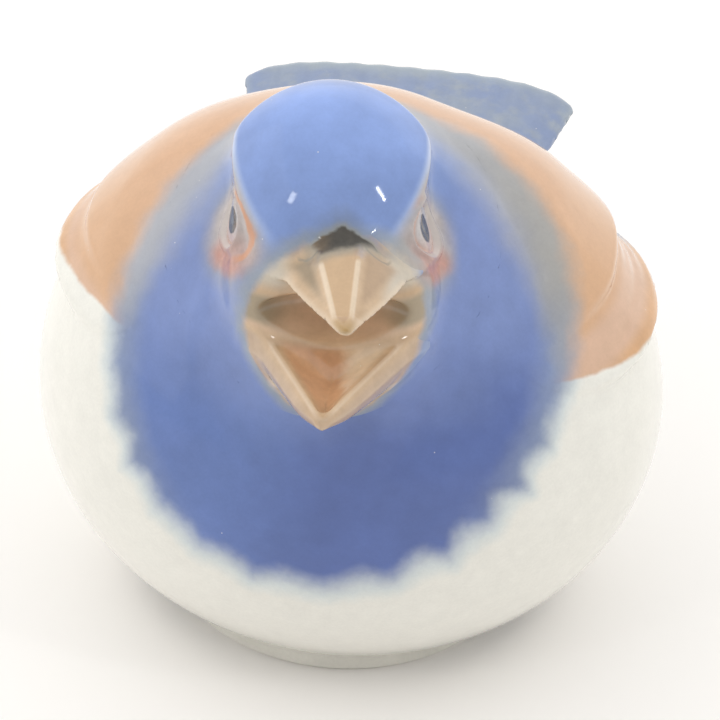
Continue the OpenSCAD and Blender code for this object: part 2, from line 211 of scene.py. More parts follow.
def relief(p):
    """Height of the plumage over the plain body: a lip of flight feathers, a groove, and the coverts."""
    (t, v), side = wing_place(p), np.sign(p[:, 0])
    low, step, high = low_edge(t, side), step_edge(t), high_edge(t)
    along = ease(-0.02, 0.3, t) * ease(1.02, 0.72, t)
    top = ease(1.1, 0.4, (v - step) / np.maximum(high - step, 1))
    lip = 2.2 * ease(-1.4, 0.9, v - low) * mix(1, 0.5, ease(1.5, 7, v - low)) * top
    coverts = (2.2 + 0.5 * side) * ease(-1, 4.5, v - step) * top
    vanes = 0.1 * np.cos(math.tau * (v - low) / VANE) * ease(0.35, 0.6, t) * ease(0.6, 0, v - step)
    return along * (-join(-lip, -coverts, 0.4) + vanes * ease(0, 1.5, v - low))


# ---------------------------------------------------------------- bill, eyes and tail


def culmen_lines(q):
    """Distance outside the two raised lines along the upper bill."""
    t = clamp(-(q[:, 1] + upper_root) / upper_len)
    return np.abs(q[:, 0] - mix(0.4, 1.6, t)) - mix(2.7, 0.5, t)


def upper_bill(q):
    """A flat ridge between two raised lines, falling to a sharp edge on either side."""
    s = -(q[:, 1] + upper_root) / upper_len
    t, across = clamp(s), np.abs(q[:, 0] - mix(*upper_lean, clamp(s)))
    wide = (upper_w / 2 - 0.6) * (1 - t ** 1.35) + 0.6
    top = np.minimum(mix(ridge_w / 2, 0.4, t), wide)
    bottom = tomium + 2 * s
    high = np.maximum(forehead - ridge_drop * (0.35 * s + 0.65 * s * s), bottom + 0.9)
    f = clamp((q[:, 2] - bottom) / (high - bottom))
    half = mix(wide, top, f ** 0.85)
    lines = 0.22 * np.exp(-(culmen_lines(q) / 0.45) ** 2) * ease(0.1, 0.25, s) * ease(1, 0.75, s)
    d = meet((across - half) * 0.62, q[:, 2] - high, 0.7) - lines
    d = meet(d, bottom - q[:, 2], 0.6)
    d = meet(d, (s - 1) * upper_len, 0.7)
    return meet(d, (-0.4 - s) * upper_len, 1)


def lower_bill(q):
    """A trough with thin rims and a raised fold across its root."""
    s = -(q[:, 1] + lower_root) / lower_len
    t, across = clamp(s), np.abs(q[:, 0] - mix(*lower_lean, clamp(s)))
    wide = (lower_w / 2 - 0.5) * (1 - t ** 0.95) + 0.5
    deep = (lower_h - 1.6) * (1 - t ** 1.5) + 1.6
    edge = lower_rim - lower_drop * s
    down = clamp((edge - q[:, 2]) / deep)
    half = (wide + 1.0 * ease(0, 0.3, down) * ease(1.02, 0.7, t)) * np.sqrt(1 - np.minimum(down, 0.98) ** 2.4)
    d = meet((across - half) * 0.8, q[:, 2] - edge, 0.5)
    d = meet(d, (edge - deep - q[:, 2]) * 0.7, 0.8)
    d = meet(d, (s - 1) * lower_len, 0.8)
    d = meet(d, (-0.4 - s) * lower_len, 1)
    inner = np.maximum(wide - rim, 0.05)
    trough = edge - mix(4.2, 0.9, t) * (1 - np.minimum(across / inner, 1.5) ** 1.1)
    hollow = meet((trough - q[:, 2]) * 0.7, q[:, 2] - edge - 6, 0.4)
    hollow = meet(hollow, (s - 0.9) * lower_len, 0.8)
    hollow = meet(hollow, (q[:, 1] - fold[1]) * 0.9, 0.6)
    return meet(d, -hollow, 0.4)


def mouth(q):
    """The gap between the two halves of the bill, back to the throat."""
    gap = ball(q, mouth_c, mouth_r)
    return meet(gap, fold[2] - q[:, 2] + 0.12 * (q[:, 1] - fold[1]), 0.8)


def eye_place(q):
    """Where a point of the head lies over the eye: 1 is the eye's edge. The left eye sits further forward."""
    side = np.where(q[:, 0] > 0, 1, -1)
    y, z = eye_c[1] + side * eye_skew[0], eye_c[2] + side * eye_skew[1]
    return (q[:, 1] - y) / eye_r[0], (q[:, 2] - z) / eye_r[1]


def eye_relief(q):
    u, v = eye_place(q)
    r = np.hypot(u, v)
    lens = 0.3 * np.maximum(1 - r * r, 0) ** 0.8
    lid = 0.28 * np.exp(-((r - 1.2) / 0.16) ** 2) - 0.12 * np.exp(-((r - 0.97) / 0.09) ** 2)
    return (lens + lid) * ease(5, 7, np.abs(q[:, 0]))


def over_tail(p):
    """Height over the sloping plane that the tail lies in."""
    return p[:, 2] - tail_c[2] - (p[:, 1] - tail_c[1]) * TAIL_SLOPE


def tail(p):
    x, y = p[:, 0] - tail_c[0], p[:, 1] - tail_c[1]
    a = np.abs(x) / (tail_w / 2)
    sweep = 1 - 0.17 * np.minimum(a, 1.2) ** 6
    s = y / tail_reach
    half = mix(tail_root_w, tail_w, clamp(s)) / 2
    b = np.minimum(np.abs(x) / half, 1.2)
    thick = mix(tail_end_t, tail_root_t, np.exp(-3.5 * np.maximum(s, 0))) * (1 - 0.6 * b ** 4)
    vanes = 0.07 * np.cos(math.tau * x / half * TAIL_VANES) * ease(0.2, 0.7, s)
    d = meet(np.abs(over_tail(p) + 1.2 * b * b) - thick / 2 - vanes, (np.abs(x) - half) * 0.95, 1.6)
    d = meet(d, (s / sweep - 1) * tail_reach, 1.4)
    return meet(d, -0.9 * tail_reach - y, 1)


def bird(p):
    """The whole glazed skin above the foot."""
    q = to_head(p)
    low = q[:, 2] < joint_c[2] - 8
    d = plain_skin(p, q) - relief(p)
    d = join(d, tail(p), 2.4)
    h = join(d - eye_relief(q), lower_bill(q), 1.6)
    h = meet(h, -mouth(q), 0.6)
    h = join(h, upper_bill(q), 1.6)
    return np.where(low, d, h)


# ---------------------------------------------------------------- paint, as distances on the skin


def unit(v):
    return v / norm(v)


BIB_AXIS = unit(np.array([0.04, -math.cos(math.radians(40)), math.sin(math.radians(40))]))
BIB_RIGHT = unit(np.cross(BIB_AXIS, [0, 0, 1]))
BIB_UP = np.cross(BIB_RIGHT, BIB_AXIS)
MM_PER_DEGREE = 0.62


def bib_edge(p):
    """Distance outside the painted bib, and the direction round its middle."""
    d = p - belly_c
    d /= norm(d)[:, None]
    x, y = -d @ BIB_RIGHT, d @ BIB_UP
    turn = np.arctan2(x, y)
    edge = 48.9 + 1.2 * np.cos(turn) + 2.5 * np.cos(2 * turn) + 1.9 * np.sin(2 * turn)
    off = (np.degrees(np.arccos(np.clip(d @ BIB_AXIS, -1, 1))) - edge) * MM_PER_DEGREE
    return off, np.cos(turn), np.sin(turn)


def peach_edge(p):
    """Distance below the peach mantle. It starts high on the shoulders and ends along the wings' lips."""
    (t, v), side = wing_place(p), np.sign(p[:, 0])
    start = np.clip(t, -0.15, 1)
    shoulder = np.where(side > 0, 20.8 + 15 * np.exp(-start / 0.11), 25.3 + 13.5 * np.exp(-start / 0.19))
    edge = (np.maximum(shoulder, low_edge(t, side)) - v) * MM_PER_DEGREE
    return np.maximum(edge, -over_tail(p) - 20 * ease(1, 0.85, t))


def tan_edge(q):
    """Distance outside the tan paint of the bill, which is round above and runs to a blunt point below."""
    x, z = np.abs(q[:, 0] - 0.4) / 10, q[:, 2] - crown + 19.5 - 0.06 * q[:, 0]
    blunt = (x ** 1.6 + (np.abs(z) / 10.2) ** 1.6) ** (1 / 1.6)
    return (np.where(z > 0, np.hypot(x, z / 10), blunt) - 1) * 9.5 + 4 * ease(-10, -7, q[:, 1])


def paint(p):
    """What the materials know about a point of the skin."""
    q = to_head(p)
    (t, v), (off, bib_up, bib_left), (u, w) = wing_place(p), bib_edge(p), eye_place(q)
    turn = np.arctan2(bib_left, bib_up)
    drips = 1 - np.abs(np.sin(12 * turn + 0.8 * np.sin(3 * turn)))
    s = -(q[:, 1] + lower_root) / lower_len
    inner = (lower_w / 2 - 0.5) * (1 - clamp(s) ** 0.95) + 0.5 - rim
    return {
        "bib": off, "bib_up": bib_up, "bib_left": bib_left, "drips": drips, "peach": peach_edge(p),
        "wing_t": t, "wing_v": v - step_edge(t), "wing_low": v - low_edge(t, np.sign(p[:, 0])),
        "skull": skull(q), "crease": cap_edge(q), "bill": tan_edge(q),
        "trough": inner - np.abs(q[:, 0] - mix(*lower_lean, clamp(s))),
        "ridge": culmen_lines(q), "over_edge": q[:, 2] - tomium + 2 * (q[:, 1] + upper_root) / upper_len,
        "eye_u": u, "eye_v": w, "eye_side": np.where(q[:, 0] > 0, 1, -1),
        "head_x": q[:, 0], "head_y": q[:, 1], "head_z": q[:, 2] - crown,
        "tail_s": (p[:, 1] - tail_c[1]) / tail_reach, "tail_a": (p[:, 0] - tail_c[0]) / (tail_w / 2),
        "tail_up": over_tail(p),
    }


# ---------------------------------------------------------------- materials

CREAM, CREAM_SHADE, PALE_BLUE = (0.87, 0.855, 0.785), (0.83, 0.815, 0.745), (0.60, 0.68, 0.70)
PEACH, PEACH_MOTTLE, PEACH_DEEP = (0.71, 0.435, 0.265), (0.67, 0.40, 0.235), (0.67, 0.385, 0.195)
PEACH_WING, PEACH_GROOVE = (0.665, 0.395, 0.215), (0.70, 0.48, 0.36)
SLATE, SLATE_LINE = (0.34, 0.39, 0.47), (0.18, 0.22, 0.33)
GREY, GREY_WARM, GREY_LOW = (0.385, 0.395, 0.435), (0.40, 0.39, 0.37), (0.31, 0.34, 0.42)
# The cap and crown blues are lighter than the paint itself: painted light from above.
CROWN_BLUE_TOP_LIT, CAP_BLUE_TOP_LIT, NECK_BLUE = (0.25, 0.37, 0.735), (0.195, 0.295, 0.60), (0.185, 0.26, 0.53)
# The breast blue for the bird's right side is lighter: painted light from that side.
BREAST_BLUE, BREAST_RIGHT_LIT, EDGE_BLUE = (0.085, 0.14, 0.385), (0.115, 0.19, 0.46), (0.24, 0.30, 0.44)
# The crease colour is a pale line of thin blue with a painted highlight on the cap's edge.
CREASE_PALE_AND_HIGHLIGHT, CHEEK_BLUE = (0.55, 0.64, 0.82), (0.26, 0.33, 0.52)
TAIL_GREY, TAIL_BLUE, TAIL_PALE = (0.27, 0.325, 0.43), (0.225, 0.29, 0.46), (0.31, 0.355, 0.42)
TAIL_LINE, TAIL_EDGE = (0.20, 0.25, 0.38), (0.41, 0.465, 0.47)
TAN, TAN_DARK, TAN_RIDGE = (0.62, 0.44, 0.275), (0.53, 0.365, 0.22), (0.575, 0.385, 0.22)
# Bill side panels: painted dark reflection, deeper on the bird's right.
PANEL_REFLECTION_RIGHT, PANEL_REFLECTION_LEFT = (0.27, 0.205, 0.125), (0.42, 0.28, 0.165)
# The pale line colour on the upper bill's raised ridges is a painted highlight.
BILL_ROOT, BILL_EDGE, BILL_LINE_HIGHLIGHT = (0.57, 0.50, 0.40), (0.74, 0.59, 0.43), (0.82, 0.68, 0.51)
UPPER_TIP, LOWER_TIP, LOWER_SIDE = (0.37, 0.22, 0.06), (0.50, 0.345, 0.215), (0.50, 0.375, 0.28)
# The trough's pale colour on the bird's left is a painted reflection.
TROUGH_RIGHT, TROUGH_REFLECTION_LEFT = (0.62, 0.36, 0.20), (0.80, 0.63, 0.44)
# The dark olive at the mouth's corners is painted shade in the recess.
GAPE, GAPE_CORNER_SHADE, BILL_HALO = (0.66, 0.47, 0.32), (0.30, 0.255, 0.17), (0.33, 0.36, 0.36)
# Lore colours: the near-black triangle includes painted shadow at the bill's root, and the thin arc is a
# painted reflection.
LORE_AND_ROOT_SHADOW, LORE_BROWN, LORE_ARC_REFLECTION = (0.055, 0.048, 0.037), (0.15, 0.10, 0.055), (0.25, 0.22, 0.17)
# The smoke colour is a painted dark reflection over the front of the cap.
LORE_DARK_REFLECTION, LORE_HALO = (0.17, 0.215, 0.30), (0.27, 0.27, 0.23)
EYE_HALO, EYE_SKIN, EYE_WARM = (0.30, 0.31, 0.34), (0.47, 0.41, 0.385), (0.49, 0.29, 0.235)
EYE_STROKE, EYE_PINK, EYE_RING = (0.60, 0.27, 0.13), (0.50, 0.235, 0.18), (0.62, 0.56, 0.52)
IRIS, IRIS_WARM, IRIS_EDGE = (0.50, 0.47, 0.47), (0.56, 0.42, 0.38), (0.60, 0.40, 0.33)
PUPIL, PUPIL_CENTRE = (0.10, 0.10, 0.11), (0.24, 0.26, 0.27)
BISCUIT, RUBBED = (0.76, 0.74, 0.67), (0.50, 0.46, 0.39)
GLAZE_ROUGHNESS, GLAZE_WAVES, GLAZE_IOR = (0.05, 0.10), 0.015, 1.58


class Glaze:
    """A material under construction. Each method adds nodes and returns the socket with the result."""

    def __init__(self, name):
        self.material = bpy.data.materials.new(name)
        self.material.use_nodes = True
        self.nodes, self.links = self.material.node_tree.nodes, self.material.node_tree.links
        self.shader = self.nodes["Principled BSDF"]
        self.place = self.nodes.new("ShaderNodeTexCoord").outputs["Object"]

    def put(self, value, socket):
        if isinstance(value, bpy.types.NodeSocket):
            self.links.new(value, socket)
        else:
            socket.default_value = (*value, 1) if isinstance(value, tuple) else value

    def math(self, kind, *values):
        node = self.nodes.new("ShaderNodeMath")
        node.operation = kind
        for value, socket in zip(values, node.inputs):
            self.put(value, socket)
        return node.outputs[0]

    def add(self, a, b):
        return self.math("ADD", a, b)

    def less(self, a, b):
        return self.math("SUBTRACT", a, b)

    def times(self, a, b):
        return self.math("MULTIPLY", a, b)

    def far(self, a, b):
        """The length of the vector (a, b)."""
        return self.math("SQRT", self.add(self.times(a, a), self.times(b, b)))

    def read(self, key):
        """A number that paint() left on the mesh."""
        node = self.nodes.new("ShaderNodeAttribute")
        node.attribute_name = key
        return node.outputs["Fac"]

    def noise(self, size, detail=3, seed=0):
        """Noise with features of that size in millimetres, about 0.5."""
        node = self.nodes.new("ShaderNodeTexNoise")
        node.noise_dimensions = "4D"
        self.put(self.place, node.inputs["Vector"])
        node.inputs["W"].default_value = seed
        node.inputs["Scale"].default_value = 1 / (size * MM)
        node.inputs["Detail"].default_value = detail
        return node.outputs[0]

    def wobble(self, size, height, seed=0):
        """Noise about 0, as high as the real unevenness in millimetres."""
        return self.times(self.less(self.noise(size, 3, seed), 0.5), 4 * height)

    def cells(self, size):
        """Distance from the middle of the nearest cell, and the cell's own random number."""
        node = self.nodes.new("ShaderNodeTexVoronoi")
        self.put(self.place, node.inputs["Vector"])
        node.inputs["Scale"].default_value = 1 / (size * MM)
        own = self.nodes.new("ShaderNodeSeparateColor")
        self.put(node.outputs["Color"], own.inputs[0])
        return node.outputs["Distance"], own.outputs[0]

    def span(self, value, low, high, to_low, to_high, kind="LINEAR"):
        node = self.nodes.new("ShaderNodeMapRange")
        node.interpolation_type = kind
        values = {"Value": value, "From Min": low, "From Max": high, "To Min": to_low, "To Max": to_high}
        for key, v in values.items():
            self.put(v, node.inputs[key])
        return node.outputs[0]

    def fade(self, value, low, high):
        """0 at low, 1 at high, smooth between."""
        return self.span(value, low, high, 0, 1, "SMOOTHSTEP")

    def stripe(self, value, outer, inner):
        """1 where the value is within inner of 0, and 0 where it is outer or more away."""
        return self.fade(self.math("ABSOLUTE", value), outer, inner)

    def all_of(self, *masks):
        mask = masks[0]
        for other in masks[1:]:
            mask = self.times(mask, other)
        return mask

    def mix(self, factor, a, b, kind="MIX"):
        node = self.nodes.new("ShaderNodeMix")
        node.data_type, node.blend_type = "RGBA", kind
        self.put(factor, node.inputs[0])
        self.put(a, node.inputs[6])
        self.put(b, node.inputs[7])
        return node.outputs[2]

    def vary(self, colour, size, amount, seed=0):
        """The colour made a little lighter and darker by noise."""
        grey = self.span(self.noise(size, 4, seed), 0.3, 0.7, 1 - amount, 1 + amount)
        return self.mix(1.0, colour, grey, "MULTIPLY")

    def finish(self, colour, roughness, height, depth):
        """Connects colour, roughness and bump. The bump is depth millimetres high."""
        bump = self.nodes.new("ShaderNodeBump")
        bump.inputs["Distance"].default_value = depth * MM
        self.put(height, bump.inputs["Height"])
        self.put(bump.outputs[0], self.shader.inputs["Normal"])
        self.put(colour, self.shader.inputs["Base Color"])
        self.put(roughness, self.shader.inputs["Roughness"])
        return self.material


def blue_paint(n, off, sides):
    """Cobalt blue, lighter on the cap and crown with painted light from above, deep on the breast, greyer
    towards its side edges.
    """
    height = n.add(n.read("head_z"), n.wobble(9, 2.5, 7))
    # cap and crown lighter towards the top: painted light from above
    blue = n.mix(n.fade(height, -17, -9), NECK_BLUE, CAP_BLUE_TOP_LIT)
    blue = n.mix(n.fade(height, -8, -1), blue, CROWN_BLUE_TOP_LIT)
    # lighter blue on the bird's right of the breast: painted light from that side
    breast = n.mix(n.fade(n.read("bib_left"), 0.1, -0.8), BREAST_BLUE, BREAST_RIGHT_LIT)
    blue = n.mix(n.fade(height, -22, -35), blue, breast)
    blue = n.mix(n.all_of(n.fade(off, -6, -1.5), sides, 0.8), blue, EDGE_BLUE)
    return n.vary(n.vary(blue, 8, 0.08, 1), 2.2, 0.04, 6)


def peach_paint(n, off):
    """Peach, mottled, deeper on the wings and along its lower edge."""
    peach = n.mix(n.fade(n.noise(7, 4, 16), 0.3, 0.75), PEACH, PEACH_MOTTLE)
    peach = n.vary(peach, 1.5, 0.02, 17)
    peach = n.mix(n.all_of(n.fade(n.read("wing_v"), 25, 4), 0.6), peach, PEACH_WING)
    return n.mix(n.all_of(n.fade(off, -2.2, -0.3), 0.6), peach, PEACH_DEEP)


def feathers(n, colour):
    """Flight feathers: orange peach in front, slate blue behind, with darker lines between the vanes."""
    t, low = n.read("wing_t"), n.read("wing_low")
    below = n.all_of(n.fade(n.read("wing_v"), 1.5, -2), n.fade(low, -1.6, 0.4))
    lip = n.all_of(below, n.fade(low, 5, 2.5), n.fade(t, 0.1, 0.2))
    colour = n.mix(n.all_of(below, 0.6), colour, n.vary(PEACH_GROOVE, 3, 0.08, 8))
    colour = n.mix(lip, colour, n.vary(PEACH_DEEP, 3, 0.08, 8))
    rear = n.all_of(below, n.fade(n.add(t, n.wobble(5, 0.02, 9)), 0.56, 0.70))
    colour = n.mix(rear, colour, n.vary(SLATE, 2, 0.14, 10))
    lines = n.fade(n.math("COSINE", n.times(low, math.tau / VANE)), -0.4, -1)
    return n.mix(n.all_of(rear, lines, 0.5), colour, SLATE_LINE)


def smoke(n, soft, up, blue):
    """Grey where the blue thins out over the mantle. It reaches further up the back than at the sides."""
    grey = n.mix(n.fade(n.read("bib_left"), 0, 0.9), GREY, GREY_WARM)
    grey = n.vary(n.mix(n.fade(up, 0, 0.5), GREY_LOW, grey), 5, 0.05, 18)
    reach = n.span(up, 0, 0.65, 3, 10.5)
    return n.mix(n.fade(n.math("DIVIDE", soft, reach), -0.15, -1), grey, blue)


def plumage(n):
    """Cream belly, peach mantle and blue bib, sprayed over each other under the glaze."""
    up = n.read("bib_up")
    sides = n.fade(up, -0.9, -0.35)
    peach_off = n.add(n.read("peach"), n.wobble(4, 0.35, 11))
    off = n.add(n.read("bib"), n.wobble(1.6, 0.35, 12))
    soft = n.add(n.read("bib"), n.wobble(4, 0.8, 13))
    depth = n.span(n.noise(9, 1, 19), 0.35, 0.65, 0.6, 2.6)
    scallop = n.times(n.less(0.45, n.read("drips")), depth)
    crisp = n.add(off, n.times(scallop, n.fade(up, 0.2, -0.7)))

    cream = n.vary(n.mix(n.noise(12, 3, 14), CREAM, CREAM_SHADE), 3, 0.02, 15)
    fringe = n.fade(crisp, n.span(sides, 0, 1, 3.4, 2.4), 0.2)
    cream = n.mix(n.all_of(fringe, 0.7), cream, PALE_BLUE)
    base = n.mix(n.fade(peach_off, 0.35, -0.35), cream, feathers(n, peach_paint(n, peach_off)))

    blue = blue_paint(n, off, sides)
    on_mantle = n.fade(peach_off, 3, -3)
    on_belly = n.fade(crisp, 1.2, n.span(sides, 0, 1, -3.8, -2.4))
    cover = n.span(on_mantle, 0, 1, on_belly, n.fade(soft, 2.6, -1.4))
    return n.mix(cover, base, n.mix(on_mantle, blue, smoke(n, soft, up, blue)))


def upper_paint(n, tan):
    """Pale root and edges, brown tip, side panels darkened with painted reflection, and two pale raised lines
    with painted highlight.
    """
    forward, ridge = n.times(n.read("head_y"), -1), n.read("ridge")
    above, over_edge = n.fade(n.read("head_z"), -15.6, -14), n.read("over_edge")
    across = n.math("ABSOLUTE", n.less(n.read("head_x"), 0.5))
    tan = n.mix(n.all_of(above, n.fade(ridge, 0.1, -0.4), 0.7), tan, TAN_RIDGE)
    tan = n.mix(n.all_of(above, n.fade(across, 4.2, 6.5)), tan, n.vary(BILL_ROOT, 2, 0.06, 25))
    tan = n.mix(n.all_of(above, n.fade(forward, 23, 27), 0.9), tan, UPPER_TIP)
    # side panels darkened by a painted reflection, deeper on the bird's right
    panel = n.all_of(above, n.fade(ridge, 0.3, 1.2), n.fade(over_edge, 0.7, 1.6), n.fade(forward, 12.5, 14))
    shade = n.mix(n.fade(n.read("head_x"), -0.5, 2), PANEL_REFLECTION_RIGHT, PANEL_REFLECTION_LEFT)
    tan = n.mix(n.all_of(panel, 0.85), tan, n.vary(shade, 2, 0.08, 26))
    edge = n.all_of(above, n.fade(over_edge, 0.8, 0.2), n.fade(forward, 13.5, 15))
    tan = n.mix(n.all_of(edge, 0.7), tan, BILL_EDGE)
    # pale paint along the two raised lines: painted highlight
    line = n.all_of(above, n.stripe(ridge, 0.42, 0.12), n.fade(forward, 15.2, 16), n.fade(forward, 25, 23))
    return n.mix(n.all_of(line, 0.7), tan, BILL_LINE_HIGHLIGHT)


def lower_paint(n, tan):
    """Brownish sides, a reddish floor with a pale painted reflection on the bird's left, pale rims and a
    brown tip.
    """
    forward, up, trough = n.times(n.read("head_y"), -1), n.read("head_z"), n.read("trough")
    below = n.fade(up, -20.0, -21.2)
    side = n.all_of(below, n.fade(trough, -0.6, -1.6))
    tan = n.mix(n.all_of(side, 0.7), tan, n.vary(LOWER_SIDE, 2, 0.10, 22))
    # pale painted reflection on the floor's half on the bird's left
    left = n.fade(n.add(n.read("head_x"), n.wobble(2, 0.5, 27)), 0.8, 2.6)
    floor = n.vary(n.mix(left, TROUGH_RIGHT, TROUGH_REFLECTION_LEFT), 2, 0.12, 23)
    inside = n.all_of(below, n.fade(trough, -0.1, 1.4), n.fade(up, -26.6, -25.8), n.fade(forward, 28, 23))
    tan = n.mix(n.all_of(inside, 0.9), tan, floor)
    rim_line = n.all_of(n.stripe(n.add(trough, 0.4), 0.5, 0.15), n.fade(up, -20.4, -20.9))
    tan = n.mix(n.all_of(rim_line, 0.7), tan, BILL_EDGE)
    return n.mix(n.all_of(below, n.fade(forward, 26.5, 28.5), 0.7), tan, LOWER_TIP)


def gape_paint(n, tan):
    """Brown between the two halves of the bill, and painted shade in dark olive at the corners of the mouth.
    """
    up, across = n.read("head_z"), n.math("ABSOLUTE", n.less(n.read("head_x"), 0.5))
    gap = n.all_of(n.fade(up, -15.4, -16.4), n.fade(up, -20.4, -19.4))
    tan = n.mix(n.all_of(gap, 0.85), tan, n.vary(GAPE, 2.5, 0.12, 24))
    # painted shade in the recessed corners of the mouth
    corner = n.all_of(gap, n.fade(up, -19.8, -18.6), n.fade(across, 3.5, 8))
    return n.mix(n.all_of(corner, 0.8), tan, GAPE_CORNER_SHADE)


def bill_paint(n):
    tan = n.vary(n.mix(n.fade(n.noise(3, 4, 20), 0.35, 0.7), TAN, TAN_DARK), 1, 0.05, 21)
    return gape_paint(n, lower_paint(n, upper_paint(n, tan)))


def lores(n, colour):
    """Dark triangle over the root of the bill with painted shadow where it meets the forehead, set in a
    painted dark reflection, and a thin dark arc of painted reflection on each side of it.
    """
    x = n.read("head_x")
    forward = n.add(n.times(n.read("head_y"), -1), n.wobble(1.5, 0.25, 35))
    across = n.math("ABSOLUTE", n.less(x, 1.3))
    here = n.all_of(n.fade(n.read("head_z"), -12.4, -11.4), n.fade(forward, 9, 10))
    # distance outside the triangle, which widens fast from the back, narrows slowly and ends in front
    sides = n.times(n.less(forward, 11.1), 2.8)
    blunt = n.less(3.6, n.times(n.less(forward, 12.3), 0.45))
    off = n.add(n.less(across, n.math("MINIMUM", sides, blunt)), n.wobble(1.2, 0.15, 33))
    front = n.add(13.6, n.times(n.less(1.3, x), 0.35))
    off = n.math("MAXIMUM", off, n.times(n.less(forward, front), 0.8))
    # thin arcs beside the triangle: painted reflection
    arc = n.less(n.far(n.less(across, 3.6), n.less(forward, 12.2)), 1.5)
    arc = n.all_of(here, n.stripe(arc, 0.22, 0.06), n.fade(forward, 12.4, 13.2))
    # painted dark reflection over the front of the cap, round the triangle
    smoky = n.all_of(here, n.fade(off, 5.5, 0), n.fade(forward, 13.0, 11.6))
    # the dark triangle: dark paint deepened with painted shadow where forehead and bill meet
    dark = n.vary(n.mix(n.fade(x, 0.5, -2.5), LORE_AND_ROOT_SHADOW, LORE_BROWN), 0.8, 0.25, 34)
    colour = n.mix(n.all_of(arc, 0.6), colour, LORE_ARC_REFLECTION)
    colour = n.mix(n.all_of(smoky, 0.6), colour, LORE_DARK_REFLECTION)
    colour = n.mix(n.all_of(here, n.fade(off, 1.6, -0.3), 0.75), colour, LORE_HALO)
    return n.mix(n.all_of(here, n.fade(off, 0.3, -0.6)), colour, dark)


def cap_edge_line_and_highlight(n, colour):
    """The edge of the cap, where the blue thins out to a pale line that also serves as a painted highlight
    along the edge.
    """
    crease = n.all_of(n.stripe(n.add(n.read("crease"), 0.1), 0.9, 0.1),
                      n.fade(n.read("head_y"), 6, 1), n.fade(n.read("head_z"), -12, -9))
    return n.mix(n.all_of(crease, 0.65), colour, CREASE_PALE_AND_HIGHLIGHT)


def eye_skin(n, colour):
    """Skin round the eye: greyish, pink below, with an orange stroke in front and a pale ring."""
    u, w = n.read("eye_u"), n.read("eye_v")
    under_cap, near_head = n.fade(n.read("crease"), 0.5, -0.4), n.fade(n.read("skull"), 3.0, 1.0)
    here = n.all_of(under_cap, near_head)
    r = n.add(n.far(n.math("MAXIMUM", u, n.times(u, 0.7)), w), n.wobble(1.8, 0.08, 30))
    colour = n.mix(n.all_of(here, n.fade(r, 3.0, 1.8), 0.75), colour, EYE_HALO)
    patch = n.all_of(here, n.fade(r, 2.3, 1.6))
    warm = n.all_of(n.fade(w, 0.6, -1.0), n.fade(u, 0.8, -0.2))
    skin = n.vary(n.mix(warm, EYE_SKIN, EYE_WARM), 1.0, 0.12, 31)
    colour = n.mix(n.all_of(patch, 0.9), colour, skin)
    before = n.all_of(under_cap, n.fade(u, 0.3, -0.3), n.fade(w, -1.1, -0.5))
    strength = n.span(n.read("eye_side"), -1, 1, 0.85, 0.35)
    stroke = n.all_of(before, n.stripe(n.less(r, 1.42), 0.20, 0.05), strength)
    colour = n.mix(stroke, colour, EYE_STROKE)
    below = n.all_of(near_head, n.fade(w, -0.5, -1.1), n.fade(u, 0.9, -0.1))
    pink = n.all_of(below, n.fade(r, 2.2, 1.6), n.fade(r, 1.15, 1.4))
    colour = n.mix(n.all_of(pink, 0.75), colour, n.vary(EYE_PINK, 0.8, 0.15, 36))
    ring = n.all_of(patch, n.stripe(n.less(n.far(u, w), 1.08), 0.12, 0.03))
    return n.mix(n.all_of(ring, 0.7), colour, EYE_RING)


def outside_bill(n):
    return n.add(n.read("bill"), n.wobble(1.8, 0.3, 32))


def face(n):
    """The head's plumage, with the painted skin round eyes and bill."""
    colour, off = eye_skin(n, cap_edge_line_and_highlight(n, plumage(n))), outside_bill(n)
    colour = n.mix(n.all_of(n.fade(off, 1.9, 0.2), 0.7), colour, BILL_HALO)
    return lores(n, n.mix(n.fade(off, 0.5, -0.5), colour, bill_paint(n)))


def bill_and_cheek(n):
    """The bill's own pieces. Their upper root runs out into the blue of the cheeks."""
    over = n.fade(outside_bill(n), -0.2, 1.0)
    return lores(n, n.mix(over, bill_paint(n), n.vary(CHEEK_BLUE, 2, 0.05, 37)))


def iris(n):
    u, w = n.read("eye_u"), n.read("eye_v")
    r = n.add(n.far(u, w), n.wobble(0.6, 0.03, 40))
    colour = n.vary(n.mix(n.fade(w, 0.3, -0.8), IRIS, IRIS_WARM), 0.5, 0.1, 41)
    colour = n.mix(n.fade(r, 0.80, 0.97), colour, IRIS_EDGE)
    colour = n.mix(n.fade(r, 0.60, 0.50), colour, n.vary(PUPIL, 0.4, 0.3, 42))
    return n.mix(n.all_of(n.fade(r, 0.28, 0.05), 0.6), colour, PUPIL_CENTRE)


def tail_paint(n):
    """Softly mottled grey blue, greenish and paler where the paint thins at the edges."""
    s, a = n.read("tail_s"), n.read("tail_a")
    colour = n.mix(n.fade(n.noise(8, 2, 50), 0.35, 0.65), TAIL_GREY, TAIL_BLUE)
    colour = n.mix(n.fade(n.noise(3, 3, 51), 0.45, 0.75), colour, TAIL_PALE)
    colour = n.vary(colour, 1.2, 0.03, 55)
    shafts = n.fade(n.math("COSINE", n.times(a, math.tau * TAIL_VANES)), -0.6, -1)
    colour = n.mix(n.all_of(shafts, 0.15), colour, TAIL_LINE)
    rim_place = n.add(n.math("MAXIMUM", n.math("ABSOLUTE", a), s), n.wobble(3, 0.02, 52))
    colour = n.mix(n.all_of(n.fade(rim_place, 0.84, 1.0), 0.75), colour, TAIL_EDGE)
    root = n.mix(n.fade(n.read("tail_up"), -0.5, 1), CREAM, n.vary(PEACH, 3, 0.05, 54))
    out = n.add(n.add(s, n.times(n.times(a, a), 0.5)), n.wobble(4, 0.05, 53))
    return n.mix(n.fade(out, 0.12, -0.06), colour, root)


